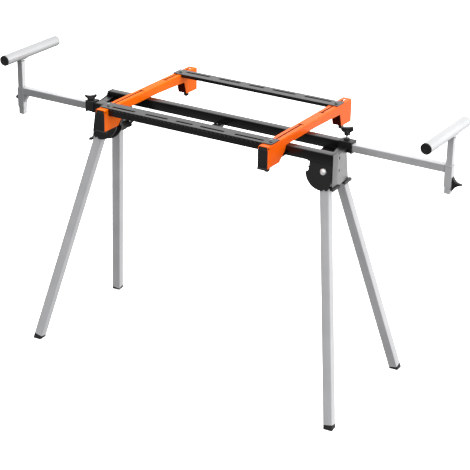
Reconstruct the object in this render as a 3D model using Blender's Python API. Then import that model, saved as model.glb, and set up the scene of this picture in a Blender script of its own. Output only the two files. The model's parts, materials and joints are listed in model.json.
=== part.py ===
# Folding miter saw stand: two rectangular rails on four folding legs, two
# telescoping support arms with height-adjustable T-supports, and a pair of
# clamp-on saw mounting brackets joined by two slotted rails.
# Units in this file are millimetres, turned into metres when a mesh is made.
# +X runs along the rails to the right, +Y to the back, +Z up.  Dimensions are
# laid out from the floor below the middle of the rails; CENTRE then moves the
# finished pieces so that the origin is below the centre of the overall box.
import math

import bmesh
import bpy
from mathutils import Vector

for old in list(bpy.data.objects):
    bpy.data.objects.remove(old, do_unlink=True)

MM = 0.001
CENTRE = (31.9, 53.437, 0.0)  # centre of the overall box, from the rails' middle
GAP = 0.3                     # clearance between touching pieces

# ---- stand rails ----------------------------------------------------------
RAIL_LEN = 900.0
RAIL_W, RAIL_H, RAIL_WALL = 29.0, 32.0, 1.5
RAIL_Y = 61.7                 # rail centre line, front is negative
RAIL_BOT, RAIL_TOP = 793.0, 825.0
RAIL_MID = 0.5 * (RAIL_BOT + RAIL_TOP)

# ---- legs -----------------------------------------------------------------
LEG_W, LEG_WALL = 30.0, 1.6
PIVOT_Z = 757.0
PIVOT_X_LONG, PIVOT_X_SHORT = 416.5, 401.5   # staggered so folded legs nest
PIVOT_Y = 47.0
FOOT_X, FOOT_Y = 561.0, 232.0
FOLD_SLOPE = 0.0588           # drift of a folded leg, dy/dx
LEG_ABOVE = 11.0              # leg tube above its pivot
QUAD_R = 58.5                 # lock plate radius
PLATE_T = 2.5
PLATE_IN = 16.0               # inner face of a lock plate from the leg axis

# ---- support arms ---------------------------------------------------------
ARM_W, ARM_WALL, ARM_Z = 25.0, 1.5, 808.0
ARM_INNER_END = 80.0
SLEEVE_X_L, SLEEVE_X_R = -728.7, 772.0
SLEEVE_W, SLEEVE_WALL = 24.0, 1.5
SLEEVE_TOP, SLEEVE_BOT = 818.0, 750.0
POST_W, POST_WALL = 20.0, 1.5
POST_BOT_L, POST_BOT_R = 726.0, 729.0
TUBE_R, TUBE_WALL, TUBE_LEN = 17.5, 1.5, 273.0
TUBE_Z_L, TUBE_Z_R = 931.5, 926.5
TUBE_Y_L, TUBE_Y_R = -10.0, 14.0

# ---- saw mount ------------------------------------------------------------
BR_W, BR_T = 33.0, 2.0
BR_X_L, BR_X_R = -317.6, 276.9
BR_TOP = 852.0
SR_T, SR_BOT = 2.5, 852.4
SR_X0, SR_X1 = -334.0, 293.3
FSR_Y0, FSR_Y1 = -166.0, -115.0
RSR_Y0, RSR_Y1 = 255.0, 303.0


# ---------------------------------------------------------------------------
def material(name, rgb, rough, metal):
    m = bpy.data.materials.new(name)
    m.use_nodes = True
    b = m.node_tree.nodes["Principled BSDF"]
    b.inputs["Base Color"].default_value = (rgb[0], rgb[1], rgb[2], 1.0)
    b.inputs["Roughness"].default_value = rough
    b.inputs["Metallic"].default_value = metal
    m.diffuse_color = (rgb[0], rgb[1], rgb[2], 1.0)
    return m


SILVER = material("silver_coat", (0.62, 0.62, 0.63), 0.35, 0.7)
CHROME = material("bright_tube", (0.85, 0.86, 0.87), 0.12, 1.0)
BLACK_STEEL = material("black_steel", (0.02, 0.02, 0.022), 0.3, 0.0)
CHARCOAL = material("charcoal_steel", (0.05, 0.052, 0.055), 0.4, 0.0)
ORANGE = material("orange_steel", (0.85, 0.16, 0.02), 0.35, 0.0)
PLASTIC = material("black_plastic", (0.015, 0.015, 0.016), 0.5, 0.0)
RUBBER = material("black_rubber", (0.02, 0.02, 0.02), 0.8, 0.0)
ZINC = material("zinc", (0.6, 0.6, 0.6), 0.3, 1.0)


def emit(name, verts, faces, mat, origin=(0.0, 0.0, 0.0), smooth=False, helper=False):
    """One mesh object from world millimetres, with its origin on its joint."""
    me = bpy.data.meshes.new(name)
    o = Vector(origin)
    me.from_pydata([tuple((Vector(v) - o) * MM) for v in verts], [], faces)
    bm = bmesh.new()
    bm.from_mesh(me)
    bmesh.ops.recalc_face_normals(bm, faces=bm.faces)
    bm.to_mesh(me)
    bm.free()
    if mat is not None:
        me.materials.append(mat)
    ob = bpy.data.objects.new(name, me)
    ob.location = (o - Vector(CENTRE)) * MM
    bpy.context.scene.collection.objects.link(ob)
    if smooth:
        me.shade_smooth()
        me.set_sharp_from_angle(angle=math.radians(40))
    if helper:
        ob.hide_render = True
        ob.display_type = 'WIRE'
    return ob


def boolean(ob, other, op):
    m = ob.modifiers.new(op.lower(), 'BOOLEAN')
    m.operation = op
    m.object = other
    m.solver = 'EXACT'
    return m


def rrect(w, h, r, n=2):
    """Rounded rectangle, centred, anticlockwise."""
    pts = []
    if r <= 0:
        return [(w / 2, h / 2), (-w / 2, h / 2), (-w / 2, -h / 2), (w / 2, -h / 2)]
    for cx, cy, a0 in ((w / 2 - r, h / 2 - r, 0), (-w / 2 + r, h / 2 - r, 90),
                       (-w / 2 + r, -h / 2 + r, 180), (w / 2 - r, -h / 2 + r, 270)):
        for i in range(n + 1):
            a = math.radians(a0 + 90.0 * i / n)
            pts.append((cx + r * math.cos(a), cy + r * math.sin(a)))
    return pts


def circle(r, n=16, a0=0.0):
    return [(r * math.cos(a0 + 2 * math.pi * i / n), r * math.sin(a0 + 2 * math.pi * i / n))
            for i in range(n)]


def frame_map(o, u, v, w):
    """Map (a, b, c) to o + a u + b v + c w."""
    o, u, v, w = Vector(o), Vector(u), Vector(v), Vector(w)
    return lambda a, b, c: o + u * a + v * b + w * c


X, Y, Z = Vector((1, 0, 0)), Vector((0, 1, 0)), Vector((0, 0, 1))


def loft(rings):
    """Closed body through rings of equal length, flat ends."""
    n = len(rings[0])
    verts = [p for r in rings for p in r]
    faces = []
    for k in range(len(rings) - 1):
        for i in range(n):
            j = (i + 1) % n
            faces.append((k * n + i, k * n + j, (k + 1) * n + j, (k + 1) * n + i))
    faces.append(tuple(range(n - 1, -1, -1)))
    faces.append(tuple((len(rings) - 1) * n + i for i in range(n)))
    return verts, faces


def prism(m, pts, c0, c1):
    return loft([[m(a, b, c0) for a, b in pts], [m(a, b, c1) for a, b in pts]])


def lathe(m, prof, n=16):
    """Solid turned about c of the map m; prof = [(r, c)], ends closed flat."""
    return loft([[m(a, b, c) for a, b in circle(r, n)] for r, c in prof])


def tube(m, outer, inner, c0, c1):
    """Open tube with equal-length outer and inner outlines."""
    n = len(outer)
    verts = ([m(a, b, c0) for a, b in outer] + [m(a, b, c1) for a, b in outer]
             + [m(a, b, c0) for a, b in inner] + [m(a, b, c1) for a, b in inner])
    faces = []
    for i in range(n):
        j = (i + 1) % n
        faces += [(i, j, n + j, n + i), (2 * n + j, 2 * n + i, 3 * n + i, 3 * n + j),
                  (j, i, 2 * n + i, 2 * n + j), (n + i, n + j, 3 * n + j, 3 * n + i)]
    return verts, faces


def box(x0, x1, y0, y1, z0, z1):
    v = [(x, y, z) for z in (z0, z1) for x, y in ((x0, y0), (x1, y0), (x1, y1), (x0, y1))]
    f = [(3, 2, 1, 0), (4, 5, 6, 7), (0, 1, 5, 4), (1, 2, 6, 5), (2, 3, 7, 6), (3, 0, 4, 7)]
    return v, f


def helper(name, vf):
    return emit(name, vf[0], vf[1], None, helper=True)


def slot_shape(w, l, n=4):
    """Round-ended slot outline, l long along the first axis."""
    r = w / 2
    pts = []
    for cx, a0 in ((l / 2 - r, -90), (-l / 2 + r, 90)):
        for i in range(n + 1):
            a = math.radians(a0 + 180.0 * i / n)
            pts.append((cx + r * math.cos(a), r * math.sin(a)))
    return pts


# ---- stand rails ------------------------------------------------------------
def rail(name, y):
    m = frame_map((0, y, RAIL_MID), Y, Z, X)
    v, f = tube(m, rrect(RAIL_W, RAIL_H, 2.5), rrect(RAIL_W - 2 * RAIL_WALL, RAIL_H - 2 * RAIL_WALL, 1.0),
                -RAIL_LEN / 2, RAIL_LEN / 2)
    return emit(name, v, f, BLACK_STEEL)


rail("front_rail", -RAIL_Y)
rail("rear_rail", RAIL_Y)


def rail_plug(name, y, side):
    """Push-in end plug: a flange outside and a shank inside the rail."""
    m = frame_map((side * RAIL_LEN / 2, y, RAIL_MID), Y * side, Z, X * side)
    iw, ih = RAIL_W - 2 * RAIL_WALL - 2 * GAP, RAIL_H - 2 * RAIL_WALL - 2 * GAP
    rings = []
    for w, h, r, c in ((iw, ih, 1.0, -14.0), (iw, ih, 1.0, GAP), (RAIL_W, RAIL_H, 2.5, GAP),
                       (RAIL_W, RAIL_H, 2.5, 2.2), (RAIL_W - 1.6, RAIL_H - 1.6, 2.0, 3.0)):
        rings.append([m(a, b, c) for a, b in rrect(w, h, r)])
    v, f = loft(rings)
    emit(name, v, f, PLASTIC)


rail_plug("front_rail_plug", -RAIL_Y, 1)
rail_plug("rear_rail_plug", RAIL_Y, -1)

# cross brace between the rails: low channel open below, with two round holes
BRACE_Y = RAIL_Y - RAIL_W / 2 - GAP
m = frame_map((-16, 0, 0), X, Z, Y)
brace_prof = [(-14, 790), (-14, 800), (14, 800), (14, 790), (12, 790), (12, 797.8), (-12, 797.8), (-12, 790)]
v, f = prism(m, brace_prof, -BRACE_Y, BRACE_Y)
brace = emit("cross_brace", v, f, BLACK_STEEL)
for k, hy in enumerate((-36.0, 36.0)):
    cut = helper("brace_hole%d" % k, lathe(frame_map((-20, hy, 0), X, Y, Z), [(4, 794), (4, 804)], 16))
    boolean(brace, cut, 'DIFFERENCE')


# ---- legs, lock plates and end brackets ---------------------------------------
class LegFrame:
    """Axes of one leg: a runs down the leg, h outward along the hinge,
    n away from the fold side; s outboard and t up lie in the lock plates."""

    def __init__(self, px, py, fx, fy):
        self.p = Vector((px, py, PIVOT_Z))
        self.foot = Vector((fx, fy, 0.0))
        d = self.foot - self.p
        self.len = d.length
        self.a = d.normalized()
        side = 1.0 if px > 0 else -1.0
        self.f = (Vector((-1.0, -FOLD_SLOPE, 0.0)) * side).normalized()
        h = self.f.cross(self.a).normalized()
        if h.y * py < 0:
            h = -h
        self.h = h
        n = self.a.cross(h).normalized()
        if n.dot(self.f) > 0:
            n = -n
        self.n = n
        self.s = -self.f
        t = self.h.cross(self.s).normalized()
        if t.z < 0:
            t = -t
        self.t = t
        self.open = math.atan2(self.a.dot(self.t), self.a.dot(self.s))


LEGS = {
    "front_right": LegFrame(PIVOT_X_LONG, -PIVOT_Y, FOOT_X, -FOOT_Y),
    "front_left": LegFrame(-PIVOT_X_SHORT, -PIVOT_Y, -FOOT_X, -FOOT_Y),
    "rear_right": LegFrame(PIVOT_X_SHORT, PIVOT_Y, FOOT_X, FOOT_Y),
    "rear_left": LegFrame(-PIVOT_X_LONG, PIVOT_Y, -FOOT_X, FOOT_Y),
}


def quadrant(leg, top, smax):
    """Lock plate outline in (s, t): arc, a notch for each locked position."""
    pts = [(-49.0, top), (-49.0, 9.0)]
    # notch for the folded leg, a round bite on the inboard side
    for i in range(6):
        a = math.radians(70 - 32 * i)
        pts.append((-57.0 + 8.0 * math.cos(a), 1.0 + 8.0 * math.sin(a)))
    pts.append((-57.2, -12.0))
    a_open = leg.open
    r = QUAD_R
    a = math.radians(-163)
    while a < a_open - 0.12:
        pts.append((r * math.cos(a), r * math.sin(a)))
        a += math.radians(9)
    # notch for the open leg
    for i in range(5):
        b = a_open + math.pi / 2 + math.pi * (1 + i / 4.0) - math.pi
        q = a_open + math.pi * (-1 + i / 4.0) - math.pi / 2
        pts.append((r * math.cos(a_open) + 4.5 * math.cos(-q + 2 * a_open), r * math.sin(a_open) + 4.5 * math.sin(-q + 2 * a_open)))
    pts.append((21.0, -math.sqrt(r * r - 21.0 ** 2)))
    pts += [(min(26.5, smax), -46.0), (smax, -34.0), (smax, top)]
    return pts


def clean(pts):
    out = []
    for p in pts:
        if not out or (Vector(p) - Vector(out[-1])).length > 0.4:
            out.append(p)
    return out


WEB_Z0, WEB_Z1 = 790.0, RAIL_BOT - GAP          # end bracket web under the rails
IWEB_Z0, IWEB_Z1 = 787.0, WEB_Z0 - GAP          # inner bracket web below it


def plate(leg, top, smax, d0, d1, name):
    m = frame_map(leg.p, leg.s, leg.t, leg.h)
    return helper(name, prism(m, clean(quadrant(leg, top, smax)), d0, d1))


def bolt_hole(leg, name, r):
    m = frame_map(leg.p, leg.s, leg.t, leg.h)
    return helper(name, lathe(m, [(r, -26.0), (r, 26.0)], 16))


END_PLATE = [(-77.0, 719.0, 825.0), (-46.0, 718.5, 825.0), (-40.0, 718.4, 814.0), (-31.0, 718.3, 813.2),
             (-27.0, 712.0, 812.8), (38.0, 706.5, 812.0), (43.5, 706.0, 806.0), (43.6, 706.0, 791.5), (47.0, 705.7, 788.0),
             (70.0, 703.4, 705.0)]


def end_x(a):
    """Outer face of the end plate at y = a."""
    return 455.8 if a <= -46.0 else 455.8 - 0.1817 * (a + 46.0)


def end_bracket(side, fl, rl, name):
    """Web under both rails, outer lock plates and the oblique end plate."""
    sg = 1.0 if side == "right" else -1.0
    # end plate as (y, bottom, top) stations: across the end of one rail, then
    # bent and running obliquely back to the other one; the right bracket is
    # described and the left one is the same turned half a turn about Z
    rings = []
    for a, zb, zt in END_PLATE:
        xo = end_x(a)
        rings.append([Vector((sg * px, sg * a, z)) for px, z in ((xo, zb), (xo, zt), (xo - PLATE_T, zt), (xo - PLATE_T, zb))])
    v, f = loft(rings)
    ob = emit(name, v, f, CHARCOAL)
    # web under the rails
    web = [(367, -74), (454.5, -74), (454.5, -46), (446, 0), (437, 50), (432.5, 74), (352.5, 74)]
    vw = loft([[Vector((sg * a, sg * b, WEB_Z0)) for a, b in web], [Vector((sg * a, sg * b, WEB_Z1)) for a, b in web]])
    boolean(ob, helper(name + "_web", vw), 'UNION')
    # lip bent inboard at the top of the tongue
    vt = loft([[Vector((sg * a, sg * b, z)) for a, b in ((428, -36), (452.8, -36), (440, 36), (414, 36))]
               for z in (808.5, 811.0)])
    boolean(ob, helper(name + "_lip", vt), 'UNION')
    for leg, tag in ((fl, "f"), (rl, "r")):
        boolean(ob, plate(leg, 31.5, 28.0 if abs(leg.p.x) > 410 else 30.0, PLATE_IN, PLATE_IN + PLATE_T, name + "_plate_" + tag), 'UNION')
        boolean(ob, bolt_hole(leg, name + "_bore_" + tag, 4.6), 'DIFFERENCE')
    # adjuster slots in the end plate
    for k, (cy, cz, w, hgt) in enumerate(((-28.0, 802.0, 8.0, 13.0), (-28.0, 761.5, 8.0, 9.0))):
        mm_ = frame_map((sg * (end_x(cy) - 0.5 * PLATE_T), sg * cy, cz), Z, Y, X)
        sl = slot_shape(w, hgt)
        boolean(ob, helper(name + "_slot%d" % k, prism(mm_, sl, -3.2, 3.2)), 'DIFFERENCE')
    return ob


end_bracket("right", LEGS["front_right"], LEGS["rear_right"], "right_end_bracket")
end_bracket("left", LEGS["rear_left"], LEGS["front_left"], "left_end_bracket")


def inner_bracket(side, legs, name):
    sg = 1.0 if side == "right" else -1.0
    web = [(366, -27), (436, -27), (429, 27), (352, 27)]
    v, f = loft([[Vector((sg * a, sg * b, z)) for a, b in web] for z in (IWEB_Z0, IWEB_Z1)])
    ob = emit(name, v, f, CHARCOAL)
    for i, leg in enumerate(legs):
        boolean(ob, plate(leg, 36.7, 18.5, -PLATE_IN - PLATE_T, -PLATE_IN, name + "_plate%d" % i), 'UNION')
        boolean(ob, bolt_hole(leg, name + "_bore%d" % i, 4.6), 'DIFFERENCE')
    return ob


inner_bracket("right", (LEGS["front_right"], LEGS["rear_right"]), "right_inner_bracket")
inner_bracket("left", (LEGS["rear_left"], LEGS["front_left"]), "left_inner_bracket")


for key, leg in LEGS.items():
    # leg tube, square to its axis at both ends
    m = frame_map(leg.p, leg.h, leg.n, leg.a)
    FOOT_TOP = 12.0
    end = leg.len - FOOT_TOP - GAP
    v, f = tube(m, rrect(LEG_W, LEG_W, 3.0), rrect(LEG_W - 2 * LEG_WALL, LEG_W - 2 * LEG_WALL, 1.5),
                -LEG_ABOVE, end)
    ob = emit(key + "_leg", v, f, SILVER, origin=leg.p)
    boolean(ob, helper(key + "_leg_bore", lathe(frame_map(leg.p, leg.s, leg.t, leg.h), [(4.6, -20), (4.6, 20)], 16)),
            'DIFFERENCE')
    # rubber foot: a cup cut level with the floor, and a plug inside the tube
    rings = []
    out = rrect(LEG_W, LEG_W, 3.0)
    ring0 = []
    for a_, b_ in out:
        q = m(a_, b_, leg.len)
        ring0.append(q + leg.a * (-q.z / leg.a.z))
    rings.append(ring0)
    rings.append([m(a_, b_, leg.len - FOOT_TOP) for a_, b_ in out])
    iw = LEG_W - 2 * LEG_WALL - 2 * GAP
    rings.append([m(a_, b_, leg.len - FOOT_TOP) for a_, b_ in rrect(iw, iw, 1.2)])
    rings.append([m(a_, b_, leg.len - FOOT_TOP - 16.0) for a_, b_ in rrect(iw, iw, 1.2)])
    v, f = loft(rings)
    emit(key + "_foot", v, f, RUBBER, origin=leg.p)
    # pivot bolt: domed head outside, shank, nut inside
    m = frame_map(leg.p, leg.s, leg.t, leg.h)
    o0 = PLATE_IN + PLATE_T + GAP
    prof = [(7.5, -o0 - 6.5), (7.5, -o0), (4.1, -o0), (4.1, o0), (10.5, o0), (10.5, o0 + 1.6),
            (8.6, o0 + 3.8), (4.5, o0 + 5.2)]
    v, f = lathe(m, prof, 16)
    emit(key + "_pivot_bolt", v, f, ZINC, origin=leg.p, smooth=True)
    # lock lever: level grip bar outside the leg, on a neck from the leg face
    m = frame_map(leg.p, leg.h, leg.n, leg.a)
    long_leg = abs(leg.p.x) > 410
    bs, bn, b0, b1 = (49.5, 29.6, -22.5, 23.5) if long_leg else (67.0, 23.5, -31.0, 17.0)
    bar_m = frame_map(leg.p + leg.a * bs + leg.n * bn, X if leg.p.x > 0 else -X, Z, Y if leg.p.y > 0 else -Y)
    bar = [(-5.0, -3.5), (3.0, -3.5), (3.0, -6.0), (5.5, -6.0), (5.5, 3.5), (-5.0, 3.5)]
    v, f = prism(bar_m, bar, b0, b1)
    lever = emit(key + "_lock_lever", v, f, PLASTIC, origin=leg.p)
    half = LEG_W / 2 + GAP
    neck = [(-11.0, half), (11.0, half), (11.0, bn - 3.0), (-11.0, bn - 3.0)]
    boolean(lever, helper(key + "_lever_neck", prism(m, neck, bs - 3.2, bs + 3.2)), 'UNION')
    if long_leg:
        # reliefs where the bar passes the rims of the two lock plates
        for k, d in enumerate((-17.25, 17.25)):
            rm = frame_map(leg.p, leg.s, leg.t, leg.h)
            boolean(lever, helper(key + "_lever_relief%d" % k, lathe(rm, [(QUAD_R + 0.8, d - 2.2), (QUAD_R + 0.8, d + 2.2)], 48)),
                    'DIFFERENCE')


# ---- arms, collars, sleeves, posts and support tubes ----------------------------
def arm_side(tag, sg, y, sleeve_x, post_bot, tube_z, tube_y, col):
    """sg is +1 on the right.  col = collar extents (inner end, outer end)."""
    inner = sg * ARM_INNER_END
    outer = sleeve_x - sg * (SLEEVE_W / 2 + GAP)
    m = frame_map((0, y, ARM_Z), Y, Z, X)
    lo, hi = min(inner, outer), max(inner, outer)
    v, f = tube(m, rrect(ARM_W, ARM_W, 2.5), rrect(ARM_W - 2 * ARM_WALL, ARM_W - 2 * ARM_WALL, 1.2), lo, hi)
    emit(tag + "_arm", v, f, SILVER)

    # sleeve with a gusset or a lip
    m = frame_map((sleeve_x, y, 0), X, Y, Z)
    so = rrect(SLEEVE_W, SLEEVE_W, 2.0)
    si = rrect(SLEEVE_W - 2 * SLEEVE_WALL, SLEEVE_W - 2 * SLEEVE_WALL, 1.0)
    v, f = tube(m, so, si, SLEEVE_BOT, SLEEVE_TOP)
    sl = emit(tag + "_sleeve", v, f, SILVER)
    if tag == "left":
        gx = sleeve_x + SLEEVE_W / 2 - 0.7
        gm = frame_map((0, y, 0), X, Z, Y)
        gus = [(gx, 767.0), (gx + 17.5, 794.9), (gx, 794.9)]
        boolean(sl, helper("left_gusset", prism(gm, gus, -8.0, 8.0)), 'UNION')
    else:
        lip_o = [(a + 0.55, b) for a, b in rrect(SLEEVE_W + 1.1, SLEEVE_W + 2.2, 2.4)]
        lip_i = rrect(SLEEVE_W - 2 * SLEEVE_WALL + 1.2, SLEEVE_W - 2 * SLEEVE_WALL + 1.2, 1.0)
        boolean(sl, helper("right_lip", tube(m, lip_o, lip_i, SLEEVE_TOP - 0.8, SLEEVE_TOP + 1.0)), 'UNION')

    # post with its saddle plate
    po = rrect(POST_W, POST_W, 1.8)
    pi = rrect(POST_W - 2 * POST_WALL, POST_W - 2 * POST_WALL, 0.8)
    top = tube_z - TUBE_R - 2.6
    v, f = tube(m, po, pi, post_bot, top)
    post = emit(tag + "_post", v, f, SILVER)
    # curved saddle under the tube, longer toward the back
    arc_o, arc_i = [], []
    for i in range(7):
        a = math.radians(-90 - 34 + 68 * i / 6.0)
        arc_o.append(((TUBE_R + 3.0) * math.cos(a), (TUBE_R + 3.0) * math.sin(a)))
        arc_i.append(((TUBE_R + GAP + 0.2) * math.cos(a), (TUBE_R + GAP + 0.2) * math.sin(a)))
    sm = frame_map((sleeve_x, y, tube_z), X, Z, Y)
    saddle = arc_o + arc_i[::-1]
    y0, y1 = -POST_W / 2 - 1.0, POST_W / 2 + 15.0
    boolean(post, helper(tag + "_saddle", prism(sm, saddle, y0, y1)), 'UNION')

    # support tube with its two end caps
    tm = frame_map((sleeve_x, tube_y, tube_z), X, Z, Y)
    v, f = tube(tm, circle(TUBE_R, 32), circle(TUBE_R - TUBE_WALL, 32), -TUBE_LEN / 2, TUBE_LEN / 2)
    emit(tag + "_support_tube", v, f, CHROME, smooth=True)
    for nm, dr in (("front", -1), ("rear", 1)):
        cm = frame_map((sleeve_x, tube_y + dr * TUBE_LEN / 2, tube_z), X * dr, Z, Y * dr)
        ri = TUBE_R - TUBE_WALL - GAP
        v, f = lathe(cm, [(ri, -12.0), (ri, GAP), (TUBE_R, GAP), (TUBE_R, 2.0), (TUBE_R - 1.6, 3.2)], 32)
        emit("%s_tube_%s_cap" % (tag, nm), v, f, PLASTIC, smooth=True)

    # collar at the rail end: an inverted U round the rail, a ring past its end
    ci, co = col
    end = sg * RAIL_LEN / 2
    cw, ch, ct = RAIL_W + 2 * GAP, RAIL_H + GAP, 2.5
    cm = frame_map((0, y, 0), Y, Z, X)
    u = [(-cw / 2 - ct, RAIL_BOT + 0.3), (-cw / 2, RAIL_BOT + 0.3), (-cw / 2, RAIL_TOP + GAP), (cw / 2, RAIL_TOP + GAP),
         (cw / 2, RAIL_BOT + 0.3), (cw / 2 + ct, RAIL_BOT + 0.3), (cw / 2 + ct, RAIL_TOP + GAP + ct - 1.0),
         (cw / 2 + ct - 1.0, RAIL_TOP + GAP + ct), (-cw / 2 - ct + 1.0, RAIL_TOP + GAP + ct),
         (-cw / 2 - ct, RAIL_TOP + GAP + ct - 1.0)]
    v, f = prism(cm, u, ci, end + sg * 1.5)
    colr = emit(tag + "_collar", v, f, PLASTIC)
    ow, oh = cw + 2 * ct, RAIL_H + GAP + ct + 2.7
    zc = RAIL_TOP + GAP + ct - oh / 2
    ring_o = [(a, b + zc) for a, b in rrect(ow, oh, 1.6)]
    ring_i = [(a, b + ARM_Z) for a, b in rrect(ARM_W + 1.0, ARM_W + 1.0, 2.6)]
    c0 = end + sg * GAP
    rm = frame_map((0, y, 0), Y, Z, X)
    boolean(colr, helper(tag + "_collar_ring", tube(rm, ring_o, ring_i, min(c0, co), max(c0, co))), 'UNION')
    return colr


left_collar = arm_side("left", -1.0, -RAIL_Y, SLEEVE_X_L, POST_BOT_L, TUBE_Z_L, TUBE_Y_L, (-423.0, -454.5))
right_collar = arm_side("right", 1.0, RAIL_Y, SLEEVE_X_R, POST_BOT_R, TUBE_Z_R, TUBE_Y_R, (409.0, 454.0))


def collar_boss(collar, tag, x, y, z1):
    """Threaded boss on the collar, with a blind bore for the knob's stud."""
    m = frame_map((x, y, 0), X, Y, Z)
    boolean(collar, helper(tag + "_boss", lathe(m, [(9.0, RAIL_TOP + 1.5), (9.0, z1)], 20)), 'UNION')
    boolean(collar, helper(tag + "_boss_bore", lathe(m, [(3.5, RAIL_TOP + 1.6), (3.5, z1 + 3.0)], 16)), 'DIFFERENCE')


LK_X, RK_X = -445.0, 428.7
collar_boss(left_collar, "left", LK_X, -RAIL_Y, 829.5)
collar_boss(right_collar, "right", RK_X, RAIL_Y, 834.0)


def wing_knob(name, x, y, z_neck, z_wing, z_tip, stud_low, hw, th, nw, dip, turn):
    """Wing knob with a concave top and a stud below its neck; turn is the
    direction of its wings from +X, in degrees."""
    ob_m = frame_map((x, y, 0), X, Y, Z)
    n = 6
    top = []
    for i in range(n + 1):
        s = -1.0 + 2.0 * i / n
        top.append((hw * s * 0.94, z_tip - dip * (1 - s * s)))
    half = [(nw, z_neck), (nw + 0.6, z_wing - 4.0), (hw - 2.8, z_wing), (hw, z_wing + 3.5)]
    outline = [(-half[0][0], half[0][1])] + half + top[::-1] + [(-a, b) for a, b in half[:0:-1]]
    t = math.radians(turn)
    u = Vector((math.cos(t), math.sin(t), 0.0))
    v, f = prism(frame_map((x, y, 0), u, Z, Z.cross(u)), clean(outline), -th, th)
    ob = emit(name, v, f, PLASTIC, origin=(x, y, z_neck))
    boolean(ob, helper(name + "_hub", lathe(ob_m, [(nw - 0.4, z_neck - 0.4), (nw, z_wing - 4.5), (nw - 2.0, z_wing + 1.0)], 20)),
            'UNION')
    boolean(ob, helper(name + "_stud", lathe(ob_m, [(3.0, stud_low), (3.0, z_neck + 4.0)], 14)), 'UNION')
    return ob


wing_knob("left_wing_knob", LK_X, -RAIL_Y, 830.3, 837.5, 845.5, 827.2, 20.0, 5.0, 12.0, 4.5, 42.0)
wing_knob("right_wing_knob", RK_X, RAIL_Y, 844.0, 857.0, 870.0, 827.2, 19.0, 6.0, 8.5, 2.0, 31.0)

# post knob on the outboard face of the right sleeve: two wings at its base
# tapering into a flat grip; its screw stops short of the post inside
PK_Z = 760.0
PK_X = SLEEVE_X_R + SLEEVE_W / 2
m = frame_map((PK_X, RAIL_Y, 0.0), Y, Z, X)
rings = []
for c, z0, z1, hy, r in ((0.5, 738.5, 783.0, 8.0, 1.2), (3.0, 741.5, 780.0, 8.0, 2.0), (7.0, 747.5, 774.5, 7.6, 3.0),
                         (12.0, 752.5, 770.0, 6.8, 3.0), (18.0, 756.5, 767.5, 5.6, 2.6), (26.0, 760.0, 766.4, 4.2, 1.8),
                         (32.5, 761.6, 765.6, 2.8, 1.2)):
    zc = 0.5 * (z0 + z1)
    rings.append([m(a, b + zc, c) for a, b in rrect(2 * hy, z1 - z0, r)])
v, f = loft(rings)
emit("right_post_knob", v, f, PLASTIC, origin=(PK_X, RAIL_Y, PK_Z))

# thumb screw on the outboard face of the left sleeve
TS_Z = 781.0
m = frame_map((SLEEVE_X_L - SLEEVE_W / 2, -RAIL_Y, TS_Z), Y, Z, -X)
v, f = lathe(m, [(3.2, GAP), (3.2, 4.0), (6.2, 4.0), (7.0, 5.0), (7.0, 10.5), (6.0, 12.0)], 16)
emit("left_post_screw", v, f, PLASTIC, origin=(SLEEVE_X_L - SLEEVE_W / 2, -RAIL_Y, TS_Z), smooth=True)


# ---- saw mount: brackets, levers, clamps, slotted rails, bolts, bumpers ----------
SIDE = [(-187.0, 781.5), (-114.0, 781.5), (-106.0, 789.0), (-82.0, 810.0), (-75.0, 825.6), (110.0, 825.6),
        (277.0, 820.0), (290.0, 777.0), (355.0, 775.0)]


def saw_bracket(name, x):
    """Inverted channel, deep at both ends, open below."""
    rings = []
    hw, r = BR_W / 2, 3.0
    for y, zb in SIDE:
        ring = [(-hw, zb), (-hw, BR_TOP - r), (-hw + 0.9, BR_TOP - 0.9), (-hw + r, BR_TOP),
                (hw - r, BR_TOP), (hw - 0.9, BR_TOP - 0.9), (hw, BR_TOP - r), (hw, zb),
                (hw - BR_T, zb), (hw - BR_T, BR_TOP - BR_T), (-hw + BR_T, BR_TOP - BR_T), (-hw + BR_T, zb)]
        rings.append([Vector((x + a, y, b)) for a, b in ring])
    v, f = loft(rings)
    ob = emit(name, v, f, ORANGE)
    for i, (y0, y1, w) in enumerate(((-154.0, 50.0, 5.2), (177.0, 343.0, 5.2))):
        m = frame_map((x, 0.5 * (y0 + y1), 0), Y, X, Z)
        boolean(ob, helper("%s_slot%d" % (name, i), prism(m, slot_shape(w, y1 - y0), 846.0, 856.0)), 'DIFFERENCE')
    for i, yc in enumerate((45.0, 180.0)):
        m = frame_map((x, yc, 0), X, Y, Z)
        boolean(ob, helper("%s_cross%d" % (name, i), prism(m, slot_shape(5.0, 22.0), 846.0, 856.0)), 'DIFFERENCE')
    # closing wall between the webs at the rear deep end
    wi = hw - BR_T + 0.6
    boolean(ob, helper(name + "_wall", box(x - wi, x + wi, 290.0, 292.0, 777.6, 826.0)), 'UNION')
    # hole for the lever's pin through both webs
    m = frame_map((x, LEV_Y, LEV_Z), Y, Z, X)
    boolean(ob, helper(name + "_pin_hole", lathe(m, [(2.6, -20), (2.6, 20)], 14)), 'DIFFERENCE')
    return ob


LEV_Y, LEV_Z = -182.5, 845.0
saw_bracket("left_saw_bracket", BR_X_L)
saw_bracket("right_saw_bracket", BR_X_R)


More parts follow.
